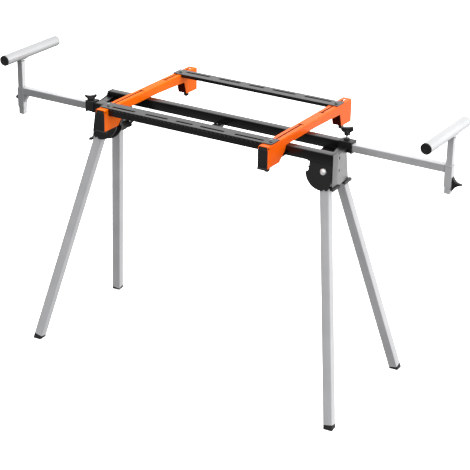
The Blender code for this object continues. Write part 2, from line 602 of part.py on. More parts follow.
def front_lever(name, x):
    """Clamp lever closing the front of the channel, hinged near its top."""
    hw = BR_W / 2 - BR_T - 0.6
    v, f = box(x - BR_W / 2, x + BR_W / 2, -190.0, -187.4, 781.0, 841.0)
    ob = emit(name, v, f, PLASTIC, origin=(x, LEV_Y, LEV_Z))
    m = frame_map((x, 0, 0), Y, Z, X)
    # arm between the webs, up to an eye round the pin
    arm = [(-188.7, 833.0), (-184.6, 833.0), (-179.6, 841.6), (-178.1, 845.0), (-179.6, 848.1), (-182.5, 849.4),
           (-185.4, 848.1), (-186.7, 844.6), (-188.2, 839.6)]
    boolean(ob, helper(name + "_arm", prism(m, arm, -hw, hw)), 'UNION')
    # lip along the lower edge
    lip = [(-193.5, 778.5), (-189.0, 778.5), (-187.4, 780.2), (-187.4, 784.5), (-190.8, 784.5), (-193.5, 781.5)]
    boolean(ob, helper(name + "_lip", prism(m, lip, -BR_W / 2 + 0.4, BR_W / 2 - 0.4)), 'UNION')
    mp = frame_map((x, LEV_Y, LEV_Z), Y, Z, X)
    boolean(ob, helper(name + "_pin", lathe(mp, [(2.3, -BR_W / 2 - 1.0), (2.3, BR_W / 2 + 1.0)], 14)), 'UNION')
    return ob


front_lever("left_front_lever", BR_X_L)
front_lever("right_front_lever", BR_X_R)


def clamp_shoe(name, x, w):
    """Hook below the front stand rail on a flat bar from inside the channel."""
    m = frame_map((x, 0, 0), Y, Z, X)
    prof = [(-150.0, 786.2), (-52.0, 786.2), (-52.0, 792.4), (-60.0, 792.4), (-63.0, 789.2), (-147.0, 789.2),
            (-147.0, 815.0), (-150.0, 815.0)]
    v, f = prism(m, prof, -w / 2, w / 2)
    return emit(name, v, f, ZINC)


clamp_shoe("right_clamp_shoe", BR_X_R, 16.0)
ls = clamp_shoe("left_clamp_shoe", BR_X_L - 4.0, 14.0)

# clamp knob below the front rail at the left bracket, on a tab of its shoe
CK_X, CK_Z = -299.5, 773.5
CK_TAB = box(CK_X - 17.0, CK_X + 7.0, -62.4, -60.2, 766.0, 788.0)
boolean(ls, helper("clamp_tab", CK_TAB), 'UNION')
m = frame_map((CK_X, -62.7, CK_Z), X, Z, -Y)
ov = [(18.0 * math.cos(2 * math.pi * i / 20), 10.5 * math.sin(2 * math.pi * i / 20)) for i in range(20)]
ov2 = [(16.5 * math.cos(2 * math.pi * i / 20), 9.0 * math.sin(2 * math.pi * i / 20)) for i in range(20)]
v, f = loft([[m(a, b, 0.0) for a, b in ov], [m(a, b, 5.4) for a, b in ov], [m(a, b, 6.6) for a, b in ov2]])
emit("left_clamp_knob", v, f, PLASTIC, origin=(CK_X, -62.7, CK_Z))


def slotted_rail(name, y0, y1, front_drop, rear_drop, rows):
    """Flat-topped channel lying across both brackets; its flanges stop
    between them."""
    z0, z1 = SR_BOT, SR_BOT + SR_T
    v, f = box(SR_X0, SR_X1, y0, y1, z0, z1)
    ob = emit(name, v, f, BLACK_STEEL)
    fx0, fx1 = BR_X_L + BR_W / 2 + 1.0, BR_X_R - BR_W / 2 - 1.0
    boolean(ob, helper(name + "_flange_f", box(fx0, fx1, y0, y0 + SR_T, z1 - front_drop, z1 - 0.6)), 'UNION')
    boolean(ob, helper(name + "_flange_r", box(fx0, fx1, y1 - SR_T, y1, z1 - rear_drop, z1 - 0.6)), 'UNION')
    cv, cf = [], []
    for yc, spans in rows:
        for x0, x1 in spans:
            m_ = frame_map((0.5 * (x0 + x1), yc, 0), X, Y, Z)
            pv, pf = prism(m_, slot_shape(9.5, x1 - x0, 3), z0 - 4, z1 + 4)
            k = len(cv)
            cv += pv
            cf += [tuple(i + k for i in face) for face in pf]
    for bx in (BR_X_L, BR_X_R):
        m_ = frame_map((bx, 0.5 * (y0 + y1), 0), X, Y, Z)
        pv, pf = lathe(m_, [(2.7, z0 - 4), (2.7, z1 + 4)], 14)
        k = len(cv)
        cv += pv
        cf += [tuple(i + k for i in face) for face in pf]
    boolean(ob, helper(name + "_cuts", (cv, cf)), 'DIFFERENCE')
    # shallow seats for the bolt flanges
    for k, bx in enumerate((BR_X_L, BR_X_R)):
        m_ = frame_map((bx, 0.5 * (y0 + y1), 0), X, Y, Z)
        boolean(ob, helper("%s_seat%d" % (name, k), lathe(m_, [(8.0, z1 - 0.3), (8.0, z1 + 3)], 24)), 'DIFFERENCE')
    return ob


slotted_rail("front_slotted_rail", FSR_Y0, FSR_Y1, 25.0, 22.0,
             [(-148.0, [(-299, -210), (-172, -88), (-58, 4), (30, 118), (154, 257)])])
slotted_rail("rear_slotted_rail", RSR_Y0, RSR_Y1, 11.0, 22.0,
             [(284.0, [(-298, -204), (-170, -84), (-52, 7), (37, 124), (158, 256)])])


def rail_bolt(name, x, y):
    """Flanged hex bolt through a slotted rail and a bracket slot, with nut."""
    m = frame_map((x, y, 0), X, Y, Z)
    zt = SR_BOT + SR_T - 0.3 + GAP
    zb = BR_TOP - BR_T - GAP
    hexa = [(1.0, 0.0)]
    v, f = lathe(m, [(6.5, zb - 5.0), (6.5, zb - 0.01), (2.2, zb), (2.2, zt), (7.0, zt + 0.01), (7.0, zt + 1.2),
                     (5.0, zt + 1.2), (5.0, zt + 4.2), (4.2, zt + 4.8)], 12)
    emit(name, v, f, ZINC)


for nm, x in (("left", BR_X_L), ("right", BR_X_R)):
    rail_bolt("front_%s_bolt" % nm, x, 0.5 * (FSR_Y0 + FSR_Y1))
    rail_bolt("rear_%s_bolt" % nm, x, 0.5 * (RSR_Y0 + RSR_Y1))


def bumper(name, x, y0, y1, z1):
    """Rubber bumper under the right-hand web of a deep channel end."""
    m = frame_map((x, 0, 0), X, Z, Y)
    hw = BR_W / 2
    prof = [(hw - 0.2, z1 - GAP), (hw - BR_T - GAP, z1 - GAP), (hw - BR_T - GAP, z1 + 4.0), (hw - 14.0, z1 + 4.0),
            (hw - 14.0, z1 - 7.5), (hw - 11.5, z1 - 10.5), (hw - 2.8, z1 - 10.5), (hw - 0.2, z1 - 7.5)]
    v, f = prism(m, prof, y0, y1)
    emit(name, v, f, RUBBER)


for nm, x in (("left", BR_X_L), ("right", BR_X_R)):
    bumper("front_%s_bumper" % nm, x, -182.5, -170.5, 781.5)
    bumper("rear_%s_bumper" % nm, x, 293.0, 305.0, 776.2)
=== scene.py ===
import json
import math

import bmesh
import bpy
from mathutils import Matrix, Vector


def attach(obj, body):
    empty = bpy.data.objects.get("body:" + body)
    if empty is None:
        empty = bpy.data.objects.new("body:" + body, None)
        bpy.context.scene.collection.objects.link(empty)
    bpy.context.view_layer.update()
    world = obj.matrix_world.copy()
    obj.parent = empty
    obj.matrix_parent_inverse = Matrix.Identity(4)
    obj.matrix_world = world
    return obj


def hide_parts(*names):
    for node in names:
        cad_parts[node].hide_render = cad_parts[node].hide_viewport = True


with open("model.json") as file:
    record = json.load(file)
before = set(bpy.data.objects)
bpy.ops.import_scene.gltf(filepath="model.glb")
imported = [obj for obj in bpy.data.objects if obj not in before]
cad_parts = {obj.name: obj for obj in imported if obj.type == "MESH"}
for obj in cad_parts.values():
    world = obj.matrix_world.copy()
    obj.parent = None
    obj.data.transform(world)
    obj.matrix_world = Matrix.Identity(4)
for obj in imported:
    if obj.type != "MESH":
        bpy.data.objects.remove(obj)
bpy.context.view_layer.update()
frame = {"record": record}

# Lengths below are millimetres measured from the floor under the middle of the
# stand rails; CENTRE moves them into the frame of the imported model.
MM = 0.001
CENTRE = Vector((31.9, 53.437, 0.0))
X, Y, Z = Vector((1, 0, 0)), Vector((0, 1, 0)), Vector((0, 0, 1))
BODY = {n: b for b, ns in frame["record"]["behaviour"]["bodies"].items() for n in ns}

GAP = 0.3
RAIL_LEN, RAIL_W, RAIL_H, RAIL_WALL, RAIL_Y = 900.0, 29.0, 32.0, 1.5, 61.7
RAIL_BOT, RAIL_TOP, RAIL_MID = 793.0, 825.0, 809.0
LEG_W, LEG_WALL = 30.0, 1.6
PIVOT_Z, PIVOT_X_LONG, PIVOT_X_SHORT, PIVOT_Y = 757.0, 416.5, 401.5, 47.0
FOOT_X, FOOT_Y, FOLD_SLOPE, LEG_ABOVE = 561.0, 232.0, 0.0588, 11.0
QUAD_R, PLATE_T, PLATE_IN = 58.5, 2.5, 16.0
ARM_W, ARM_WALL, ARM_Z, ARM_INNER_END = 25.0, 1.5, 808.0, 80.0
SLEEVE_X_L, SLEEVE_X_R, SLEEVE_W, SLEEVE_WALL = -728.7, 772.0, 24.0, 1.5
SLEEVE_TOP, SLEEVE_BOT = 818.0, 750.0
POST_W, POST_WALL, POST_BOT_L, POST_BOT_R = 20.0, 1.5, 726.0, 729.0
TUBE_R, TUBE_WALL, TUBE_LEN = 17.5, 1.5, 273.0
TUBE_Z_L, TUBE_Z_R, TUBE_Y_L, TUBE_Y_R = 931.5, 926.5, -10.0, 14.0
BR_W, BR_T, BR_X_L, BR_X_R, BR_TOP = 33.0, 2.0, -317.6, 276.9, 852.0
SR_T, SR_BOT, SR_X0, SR_X1 = 2.5, 852.4, -334.0, 293.3
FSR_Y0, FSR_Y1, RSR_Y0, RSR_Y1 = -166.0, -115.0, 255.0, 303.0
WEB_Z0, WEB_Z1, IWEB_Z0, IWEB_Z1 = 790.0, 792.7, 787.0, 789.7
LEV_Y, LEV_Z = -182.5, 845.0


# ---------------------------------------------------------------- materials
def node(nt, kind, **props):
    n = nt.nodes.new(kind)
    for k, v in props.items():
        setattr(n, k, v)
    return n


def noise(nt, vec, scale, detail=3.0, rough=0.55):
    n = node(nt, "ShaderNodeTexNoise")
    n.inputs["Scale"].default_value = scale
    n.inputs["Detail"].default_value = detail
    n.inputs["Roughness"].default_value = rough
    nt.links.new(vec, n.inputs["Vector"])
    return n.outputs["Fac"]


def ramp(nt, fac, a, b, lo=0.3, hi=0.7):
    r = node(nt, "ShaderNodeValToRGB")
    r.color_ramp.elements[0].position, r.color_ramp.elements[1].position = lo, hi
    r.color_ramp.elements[0].color = (*a, 1.0)
    r.color_ramp.elements[1].color = (*b, 1.0)
    nt.links.new(fac, r.inputs["Fac"])
    return r.outputs["Color"]


def spread(nt, fac, a, b):
    r = node(nt, "ShaderNodeMapRange")
    r.inputs["From Min"].default_value, r.inputs["From Max"].default_value = 0.3, 0.7
    r.inputs["To Min"].default_value, r.inputs["To Max"].default_value = a, b
    nt.links.new(fac, r.inputs["Value"])
    return r.outputs["Result"]


def finish(name, dark, light, rough, metal=0.0, spec=0.5, coat=0.0, coat_rough=0.1,
           cloud=9.0, grain=1400.0, bump=0.04, stretch=(1, 1, 1), grain2=0.0, tint=(1.0, 1.0, 1.0)):
    """A coated or moulded surface: slow colour clouding, roughness that varies
    with it, and a fine grain in the bump (grain2 adds a coarser orange peel)."""
    m = bpy.data.materials.new(name)
    m.use_nodes = True
    nt = m.node_tree
    b = nt.nodes["Principled BSDF"]
    tc = node(nt, "ShaderNodeTexCoord")
    mp = node(nt, "ShaderNodeMapping")
    mp.inputs["Scale"].default_value = stretch
    nt.links.new(tc.outputs["Object"], mp.inputs["Vector"])
    slow = noise(nt, tc.outputs["Object"], cloud, 4.0)
    nt.links.new(ramp(nt, slow, dark, light), b.inputs["Base Color"])
    fine = noise(nt, mp.outputs["Vector"], grain, 2.0)
    mid = noise(nt, mp.outputs["Vector"], cloud * 9.0, 3.0)
    nt.links.new(spread(nt, mid, rough[0], rough[1]), b.inputs["Roughness"])
    b.inputs["Metallic"].default_value = metal
    b.inputs["Specular IOR Level"].default_value = spec
    b.inputs["Specular Tint"].default_value = (*tint, 1.0)
    b.inputs["Coat Weight"].default_value = coat
    b.inputs["Coat Roughness"].default_value = coat_rough
    bp = node(nt, "ShaderNodeBump")
    bp.inputs["Strength"].default_value = bump
    bp.inputs["Distance"].default_value = 0.0004
    nt.links.new(fine, bp.inputs["Height"])
    if grain2:
        b2 = node(nt, "ShaderNodeBump")
        b2.inputs["Strength"].default_value = grain2
        b2.inputs["Distance"].default_value = 0.001
        nt.links.new(noise(nt, tc.outputs["Object"], 260.0, 2.0), b2.inputs["Height"])
        nt.links.new(b2.outputs["Normal"], bp.inputs["Normal"])
    nt.links.new(bp.outputs["Normal"], b.inputs["Normal"])
    return m


SILVER = finish("silver_coat", (0.44, 0.445, 0.455), (0.50, 0.505, 0.515), (0.38, 0.46), metal=0.25, spec=0.5,
                bump=0.05)
SILVER_X = finish("silver_drawn_x", (0.50, 0.505, 0.515), (0.56, 0.565, 0.575), (0.32, 0.42), metal=0.35,
                  stretch=(0.02, 1, 1), grain=700.0, bump=0.06)
SILVER_Z = finish("silver_drawn_z", (0.54, 0.545, 0.555), (0.60, 0.605, 0.615), (0.32, 0.42), metal=0.3,
                  stretch=(1, 1, 0.02), grain=700.0, bump=0.06)
WELD = finish("weld_bead", (0.40, 0.40, 0.41), (0.52, 0.52, 0.53), (0.35, 0.5), metal=0.5, bump=0.2, grain=500.0)
# painted shade: a darker copy of the drawn silver, put on the left parts' faces towards the operator
SILVER_SHADE_FRONT = finish("silver_painted_shade_left", (0.27, 0.275, 0.28), (0.31, 0.315, 0.32), (0.34, 0.42), metal=0.3,
                   stretch=(0.02, 1, 1), grain=700.0, bump=0.06)
# painted shade: a darker copy of the bright tube finish for the left support tube
CHROME_SHADE_L = finish("bright_tube_painted_shade_left", (0.36, 0.365, 0.37), (0.40, 0.405, 0.41), (0.18, 0.24), metal=1.0, bump=0.02,
                  stretch=(1, 0.03, 1), grain=600.0)
CHROME = finish("bright_tube", (0.43, 0.435, 0.44), (0.47, 0.475, 0.48), (0.20, 0.26), metal=0.95, bump=0.02,
                stretch=(1, 0.03, 1), grain=600.0)
BLACK = finish("black_steel", (0.004, 0.004, 0.0045), (0.007, 0.007, 0.0075), (0.20, 0.27), spec=0.3, coat=0.10,
               coat_rough=0.12, bump=0.03, grain2=0.03)
CHARCOAL = finish("charcoal_steel", (0.010, 0.010, 0.011), (0.014, 0.014, 0.016), (0.32, 0.40), spec=0.9, coat=0.36,
                  coat_rough=0.25, bump=0.05, grain2=0.04)
ORANGE = finish("orange_steel", (0.86, 0.105, 0.001), (0.90, 0.120, 0.002), (0.34, 0.42), spec=0.14, coat=0.03,
                coat_rough=0.15, bump=0.03, grain2=0.05, tint=(1.0, 0.6, 0.35))
# painted light: a lighter copy of the orange with weaker reflection, for the left saw bracket
ORANGE_LIT_L = finish("orange_steel_painted_light_left", (0.90, 0.130, 0.0008), (0.94, 0.145, 0.001), (0.38, 0.46), spec=0.07,
                  coat_rough=0.15, bump=0.03, grain2=0.05, tint=(1.0, 0.5, 0.12))
# painted shade: a dark copy of the orange for the faces inside the saw bracket channel
ORANGE_SHADE_IN = finish("orange_painted_shade_inside", (0.045, 0.002, 0.0003), (0.07, 0.003, 0.0005), (0.5, 0.6), spec=0.05, bump=0.03)
PLASTIC = finish("black_plastic", (0.006, 0.006, 0.0065), (0.010, 0.010, 0.0105), (0.40, 0.50), spec=0.35, bump=0.12,
                 grain=1800.0)
RUBBER = finish("black_rubber", (0.012, 0.012, 0.012), (0.02, 0.02, 0.02), (0.7, 0.85), spec=0.3, bump=0.2,
                grain=900.0)
ZINC = finish("zinc", (0.55, 0.555, 0.56), (0.66, 0.66, 0.66), (0.24, 0.34), metal=1.0, bump=0.05)
DARK_ZINC = finish("dark_zinc", (0.22, 0.22, 0.222), (0.30, 0.30, 0.302), (0.24, 0.34), metal=0.85, bump=0.05)
BOLT = finish("bright_zinc", (0.90, 0.90, 0.90), (0.96, 0.96, 0.96), (0.16, 0.22), metal=0.5, coat=0.5, bump=0.02)
MARK = finish("scale_paint", (0.045, 0.045, 0.045), (0.06, 0.06, 0.06), (0.4, 0.5), spec=0.3, bump=0.03)


# ----------------------------------------------------------------- geometry
def rrect(w, h, r, n=6):
    if r <= 0:
        return [(w / 2, h / 2), (-w / 2, h / 2), (-w / 2, -h / 2), (w / 2, -h / 2)]
    pts = []
    for cx, cy, a0 in ((w / 2 - r, h / 2 - r, 0), (-w / 2 + r, h / 2 - r, 90),
                       (-w / 2 + r, -h / 2 + r, 180), (w / 2 - r, -h / 2 + r, 270)):
        for i in range(n + 1):
            a = math.radians(a0 + 90.0 * i / n)
            pts.append((cx + r * math.cos(a), cy + r * math.sin(a)))
    return pts


def circle(r, n=48):
    return [(r * math.cos(2 * math.pi * i / n), r * math.sin(2 * math.pi * i / n)) for i in range(n)]


def frame_map(o, u, v, w):
    o, u, v, w = Vector(o), Vector(u), Vector(v), Vector(w)
    return lambda a, b, c: o + u * a + v * b + w * c


def loft(rings):
    n = len(rings[0])
    verts = [p for r in rings for p in r]
    faces = []
    for k in range(len(rings) - 1):
        for i in range(n):
            j = (i + 1) % n
            faces.append((k * n + i, k * n + j, (k + 1) * n + j, (k + 1) * n + i))
    faces.append(tuple(range(n - 1, -1, -1)))
    faces.append(tuple((len(rings) - 1) * n + i for i in range(n)))
    return verts, faces


def prism(m, pts, c0, c1):
    return loft([[m(a, b, c0) for a, b in pts], [m(a, b, c1) for a, b in pts]])


def lathe(m, prof, n=48):
    return loft([[m(a, b, c) for a, b in circle(r, n)] for r, c in prof])


def tube(m, outer, inner, c0, c1):
    n = len(outer)
    verts = ([m(a, b, c0) for a, b in outer] + [m(a, b, c1) for a, b in outer]
             + [m(a, b, c0) for a, b in inner] + [m(a, b, c1) for a, b in inner])
    faces = []
    for i in range(n):
        j = (i + 1) % n
        faces += [(i, j, n + j, n + i), (2 * n + j, 2 * n + i, 3 * n + i, 3 * n + j),
                  (j, i, 2 * n + i, 2 * n + j), (n + i, n + j, 3 * n + j, 3 * n + i)]
    return verts, faces


def box(x0, x1, y0, y1, z0, z1):
    v = [(x, y, z) for z in (z0, z1) for x, y in ((x0, y0), (x1, y0), (x1, y1), (x0, y1))]
    f = [(3, 2, 1, 0), (4, 5, 6, 7), (0, 1, 5, 4), (1, 2, 6, 5), (2, 3, 7, 6), (3, 0, 4, 7)]
    return v, f


def slot_shape(w, l, n=8):
    r = w / 2
    pts = []
    for cx, a0 in ((l / 2 - r, -90), (-l / 2 + r, 90)):
        for i in range(n + 1):
            a = math.radians(a0 + 180.0 * i / n)
            pts.append((cx + r * math.cos(a), r * math.sin(a)))
    return pts


def merge(*vfs):
    verts, faces = [], []
    for v, f in vfs:
        k = len(verts)
        verts += list(v)
        faces += [tuple(i + k for i in face) for face in f]
    return verts, faces


def mesh_object(name, vf):
    me = bpy.data.meshes.new(name)
    me.from_pydata([tuple((Vector(v) - CENTRE) * MM) for v in vf[0]], [], vf[1])
    bm = bmesh.new()
    bm.from_mesh(me)
    bmesh.ops.recalc_face_normals(bm, faces=bm.faces)
    bm.to_mesh(me)
    bm.free()
    ob = bpy.data.objects.new(name, me)
    bpy.context.scene.collection.objects.link(ob)
    return ob


def shaped(name, vf, ops=()):
    """A mesh object with its unions and cuts worked in."""
    ob = mesh_object(name, vf)
    if ops:
        tools = []
        for i, (op, other) in enumerate(ops):
            t = mesh_object("%s_tool%d" % (name, i), other)
            tools.append(t)
            m = ob.modifiers.new("op%d" % i, 'BOOLEAN')
            m.operation = {"+": 'UNION', "-": 'DIFFERENCE'}[op]
            m.object = t
            m.solver = 'EXACT'
        dg = bpy.context.evaluated_depsgraph_get()
        me = bpy.data.meshes.new_from_object(ob.evaluated_get(dg))
        ob.modifiers.clear()
        old = ob.data
        ob.data = me
        bpy.data.meshes.remove(old)
        for t in tools:
            bpy.data.objects.remove(t, do_unlink=True)
    return ob


def dress(ob, nd, mat, bevel=0.45, seg=2, angle=32.0, stands=True):
    """Material, softened edges, and the body that the piece moves with."""
    ob.data.materials.clear()
    ob.data.materials.append(mat)
    ob.data.shade_smooth()
    if bevel:
        m = ob.modifiers.new("edge", 'BEVEL')
        m.width = bevel * MM
        m.segments = seg
        m.limit_method = 'ANGLE'
        m.angle_limit = math.radians(angle)
        m.harden_normals = True
    else:
        ob.data.set_sharp_from_angle(angle=math.radians(angle))
    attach(ob, BODY[nd])
    if stands:
        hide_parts(nd)
    return ob


def make(nd, vf, mat, ops=(), **kw):
    return dress(shaped(nd + "_shape", vf, ops), nd, mat, **kw)


def extra(name, nd, vf, mat, ops=(), **kw):
    return dress(shaped(name, vf, ops), nd, mat, stands=False, **kw)


def bead(path, r=1.2, n=8, ripple=0.18, closed=True):
    """Weld bead: a small rippled section swept along a path of points."""
    pts = []
    for i in range(len(path)):
        a, b = Vector(path[i]), Vector(path[(i + 1) % len(path)])
        if not closed and i == len(path) - 1:
            break
        k = max(1, int((b - a).length / 0.9))
        pts += [a.lerp(b, t / k) for t in range(k)]
    if not closed:
        pts.append(Vector(path[-1]))
    mid = sum(pts, Vector()) / len(pts)
    rings = []
    for i, p in enumerate(pts):
        q = pts[(i + 1) % len(pts)] if closed or i < len(pts) - 1 else p
        o = pts[i - 1] if closed or i > 0 else p
        t = (q - o).normalized()
        u = (p - mid)
        u = (u - t * u.dot(t)).normalized()
        v = t.cross(u)
        rr = r * (1.0 + ripple * math.sin(i * 1.7))
        rings.append([p + u * rr * math.cos(2 * math.pi * k / n) + v * rr * math.sin(2 * math.pi * k / n)
                      for k in range(n)])
    if closed:
        verts = [p for ring in rings for p in ring]
        m = len(rings)
        faces = [(k * n + i, k * n + (i + 1) % n, ((k + 1) % m) * n + (i + 1) % n, ((k + 1) % m) * n + i)
                 for k in range(m) for i in range(n)]
        return verts, faces
    return loft(rings)


# ------------------------------------------------------------- stand rails
def rail(nd, y):
    m = frame_map((0, y, RAIL_MID), Y, Z, X)
    make(nd, tube(m, rrect(RAIL_W, RAIL_H, 2.5), rrect(RAIL_W - 3.0, RAIL_H - 3.0, 1.0), -450.0, 450.0), BLACK,
         bevel=0.3)


rail("front_rail", -RAIL_Y)
rail("rear_rail", RAIL_Y)


def rail_plug(nd, y, side):
    m = frame_map((side * 450.0, y, RAIL_MID), Y * side, Z, X * side)
    iw, ih = RAIL_W - 3.6, RAIL_H - 3.6
    rings = []
    for w, h, r, c in ((iw, ih, 1.0, -14.0), (iw, ih, 1.0, GAP), (RAIL_W, RAIL_H, 2.5, GAP),
                       (RAIL_W, RAIL_H, 2.5, 1.6), (RAIL_W - 1.0, RAIL_H - 1.0, 2.2, 2.6),
                       (RAIL_W - 3.0, RAIL_H - 3.0, 1.6, 3.0), (RAIL_W - 8.0, RAIL_H - 8.0, 1.0, 3.0),
                       (RAIL_W - 9.0, RAIL_H - 9.0, 1.0, 2.4)):
        rings.append([m(a, b, c) for a, b in rrect(w, h, r)])
    make(nd, loft(rings), PLASTIC, bevel=0.2)


rail_plug("front_rail_plug", -RAIL_Y, 1)
rail_plug("rear_rail_plug", RAIL_Y, -1)

BRACE_Y = RAIL_Y - RAIL_W / 2 - GAP
brace_prof = [(-14, 790), (-14, 800), (14, 800), (14, 790), (12, 790), (12, 797.8), (-12, 797.8), (-12, 790)]
make("cross_brace", prism(frame_map((-16, 0, 0), X, Z, Y), brace_prof, -BRACE_Y, BRACE_Y), BLACK,
     [("-", lathe(frame_map((-20, hy, 0), X, Y, Z), [(4, 794), (4, 804)], 40)) for hy in (-36.0, 36.0)], bevel=0.7, seg=3)


# ----------------------------------------------------- legs and end brackets
class LegFrame:
    def __init__(self, px, py, fx, fy):
        self.p = Vector((px, py, PIVOT_Z))
        d = Vector((fx, fy, 0.0)) - self.p
        self.len = d.length
        self.a = d.normalized()
        side = 1.0 if px > 0 else -1.0
        self.f = (Vector((-1.0, -FOLD_SLOPE, 0.0)) * side).normalized()
        h = self.f.cross(self.a).normalized()
        self.h = -h if h.y * py < 0 else h
        n = self.a.cross(self.h).normalized()
        self.n = -n if n.dot(self.f) > 0 else n
        self.s = -self.f
        t = self.h.cross(self.s).normalized()
        self.t = -t if t.z < 0 else t
        self.open = math.atan2(self.a.dot(self.t), self.a.dot(self.s))


LEGS = {
    "front_right": LegFrame(PIVOT_X_LONG, -PIVOT_Y, FOOT_X, -FOOT_Y),
    "front_left": LegFrame(-PIVOT_X_SHORT, -PIVOT_Y, -FOOT_X, -FOOT_Y),
    "rear_right": LegFrame(PIVOT_X_SHORT, PIVOT_Y, FOOT_X, FOOT_Y),
    "rear_left": LegFrame(-PIVOT_X_LONG, PIVOT_Y, -FOOT_X, FOOT_Y),
}


def quadrant(leg, top, smax):
    pts = [(-49.0, top), (-49.0, 9.0)]
    for i in range(11):
        a = math.radians(70 - 16 * i)
        pts.append((-57.0 + 8.0 * math.cos(a), 1.0 + 8.0 * math.sin(a)))
    pts.append((-57.2, -12.0))
    a_open, r = leg.open, QUAD_R
    a = math.radians(-163)
    while a < a_open - 0.12:
        pts.append((r * math.cos(a), r * math.sin(a)))
        a += math.radians(3)
    for i in range(9):
        q = a_open + math.pi * (-1 + i / 8.0) - math.pi / 2
        pts.append((r * math.cos(a_open) + 4.5 * math.cos(-q + 2 * a_open),
                    r * math.sin(a_open) + 4.5 * math.sin(-q + 2 * a_open)))
    pts.append((21.0, -math.sqrt(r * r - 21.0 ** 2)))
    pts += [(min(26.5, smax), -46.0), (smax, -34.0), (smax, top)]
    out = []
    for p in pts:
        if not out or (Vector(p) - Vector(out[-1])).length > 0.35:
            out.append(p)
    return out


def plate(leg, top, smax, d0, d1):
    return prism(frame_map(leg.p, leg.s, leg.t, leg.h), quadrant(leg, top, smax), d0, d1)


def bore(leg, r):
    return lathe(frame_map(leg.p, leg.s, leg.t, leg.h), [(r, -26.0), (r, 26.0)], 32)


def arc_rim(leg, r0, r1, d0, d1):
    """Rolled edge that follows the arc of a lock plate."""
    m = frame_map(leg.p, leg.s, leg.t, leg.h)
    a0, a1 = math.radians(-168), leg.open - 0.13
    k = 40
    rings = []
    for i in range(k + 1):
        a = a0 + (a1 - a0) * i / k
        c, s = math.cos(a), math.sin(a)
        rings.append([m(r * c, r * s, d) for r, d in ((r0, d0), (r1, d0), (r1, d1), (r0, d1))])
    return loft(rings)


END_PLATE = [(-77.0, 719.0, 825.0), (-46.0, 718.5, 825.0), (-40.0, 718.4, 814.0), (-31.0, 718.3, 813.2),
             (-27.0, 712.0, 812.8), (38.0, 706.5, 812.0), (43.5, 706.0, 806.0), (43.6, 706.0, 791.5), (47.0, 705.7, 788.0),
             (70.0, 703.4, 705.0)]


def end_x(a):
    """Outer face of the end plate at y = a."""
    return 455.8 if a <= -46.0 else 455.8 - 0.1817 * (a + 46.0)


def end_bracket(side, fl, rl, nd):
    sg = 1.0 if side == "right" else -1.0
    rings = []
    for a, zb, zt in END_PLATE:
        xo = end_x(a)
        rings.append([Vector((sg * px, sg * a, z)) for px, z in ((xo, zb), (xo, zt), (xo - PLATE_T, zt), (xo - PLATE_T, zb))])
    body = loft(rings)
    web = [(367, -74), (454.5, -74), (454.5, -46), (446, 0), (437, 50), (432.5, 74), (352.5, 74)]
    ops = [("+", loft([[Vector((sg * a, sg * b, z)) for a, b in web] for z in (WEB_Z0, WEB_Z1)])),
           ("+", loft([[Vector((sg * a, sg * b, z)) for a, b in ((428, -36), (452.8, -36), (440, 36), (414, 36))]
                       for z in (808.5, 811.0)]))]
    for leg in (fl, rl):
        smax = 28.0 if abs(leg.p.x) > 410 else 30.0
        ops.append(("+", plate(leg, 31.5, smax, PLATE_IN, PLATE_IN + PLATE_T)))
        ops.append(("-", bore(leg, 4.6)))
    for cy, cz, w, hgt in ((-28.0, 802.0, 8.0, 13.0), (-28.0, 761.5, 8.0, 9.0)):
        ops.append(("-", prism(frame_map((sg * (end_x(cy) - 0.5 * PLATE_T), sg * cy, cz), Z, Y, X), slot_shape(w, hgt),
                               -3.2, 3.2)))
    ob = make(nd, body, CHARCOAL, ops, bevel=0.6, seg=3)
    # painted sheen: on this one welded part the faces turned to ±X (the end plate) keep the more reflective charcoal
    # coat, the other faces take the black
    ob.data.materials.append(BLACK)
    for p in ob.data.polygons:
        if abs(p.normal.x) < 0.6:
            p.material_index = 1
    for leg, tag in ((fl, "front"), (rl, "rear")):
        extra("%s_%s_plate_rim" % (side, tag), nd,
              arc_rim(leg, QUAD_R - 3.2, QUAD_R + 0.15, PLATE_IN + PLATE_T - 0.3, PLATE_IN + PLATE_T + 0.6), BLACK,
              bevel=0.5)


end_bracket("right", LEGS["front_right"], LEGS["rear_right"], "right_end_bracket")
end_bracket("left", LEGS["rear_left"], LEGS["front_left"], "left_end_bracket")


def inner_bracket(side, legs, nd):
    sg = 1.0 if side == "right" else -1.0
    web = [(366, -27), (436, -27), (429, 27), (352, 27)]
    body = loft([[Vector((sg * a, sg * b, z)) for a, b in web] for z in (IWEB_Z0, IWEB_Z1)])
    ops = []
    for leg in legs:
        ops.append(("+", plate(leg, 36.7, 18.5, -PLATE_IN - PLATE_T, -PLATE_IN)))
        ops.append(("-", bore(leg, 4.6)))
    make(nd, body, CHARCOAL, ops, bevel=0.5, seg=2)


inner_bracket("right", (LEGS["front_right"], LEGS["rear_right"]), "right_inner_bracket")
inner_bracket("left", (LEGS["rear_left"], LEGS["front_left"]), "left_inner_bracket")

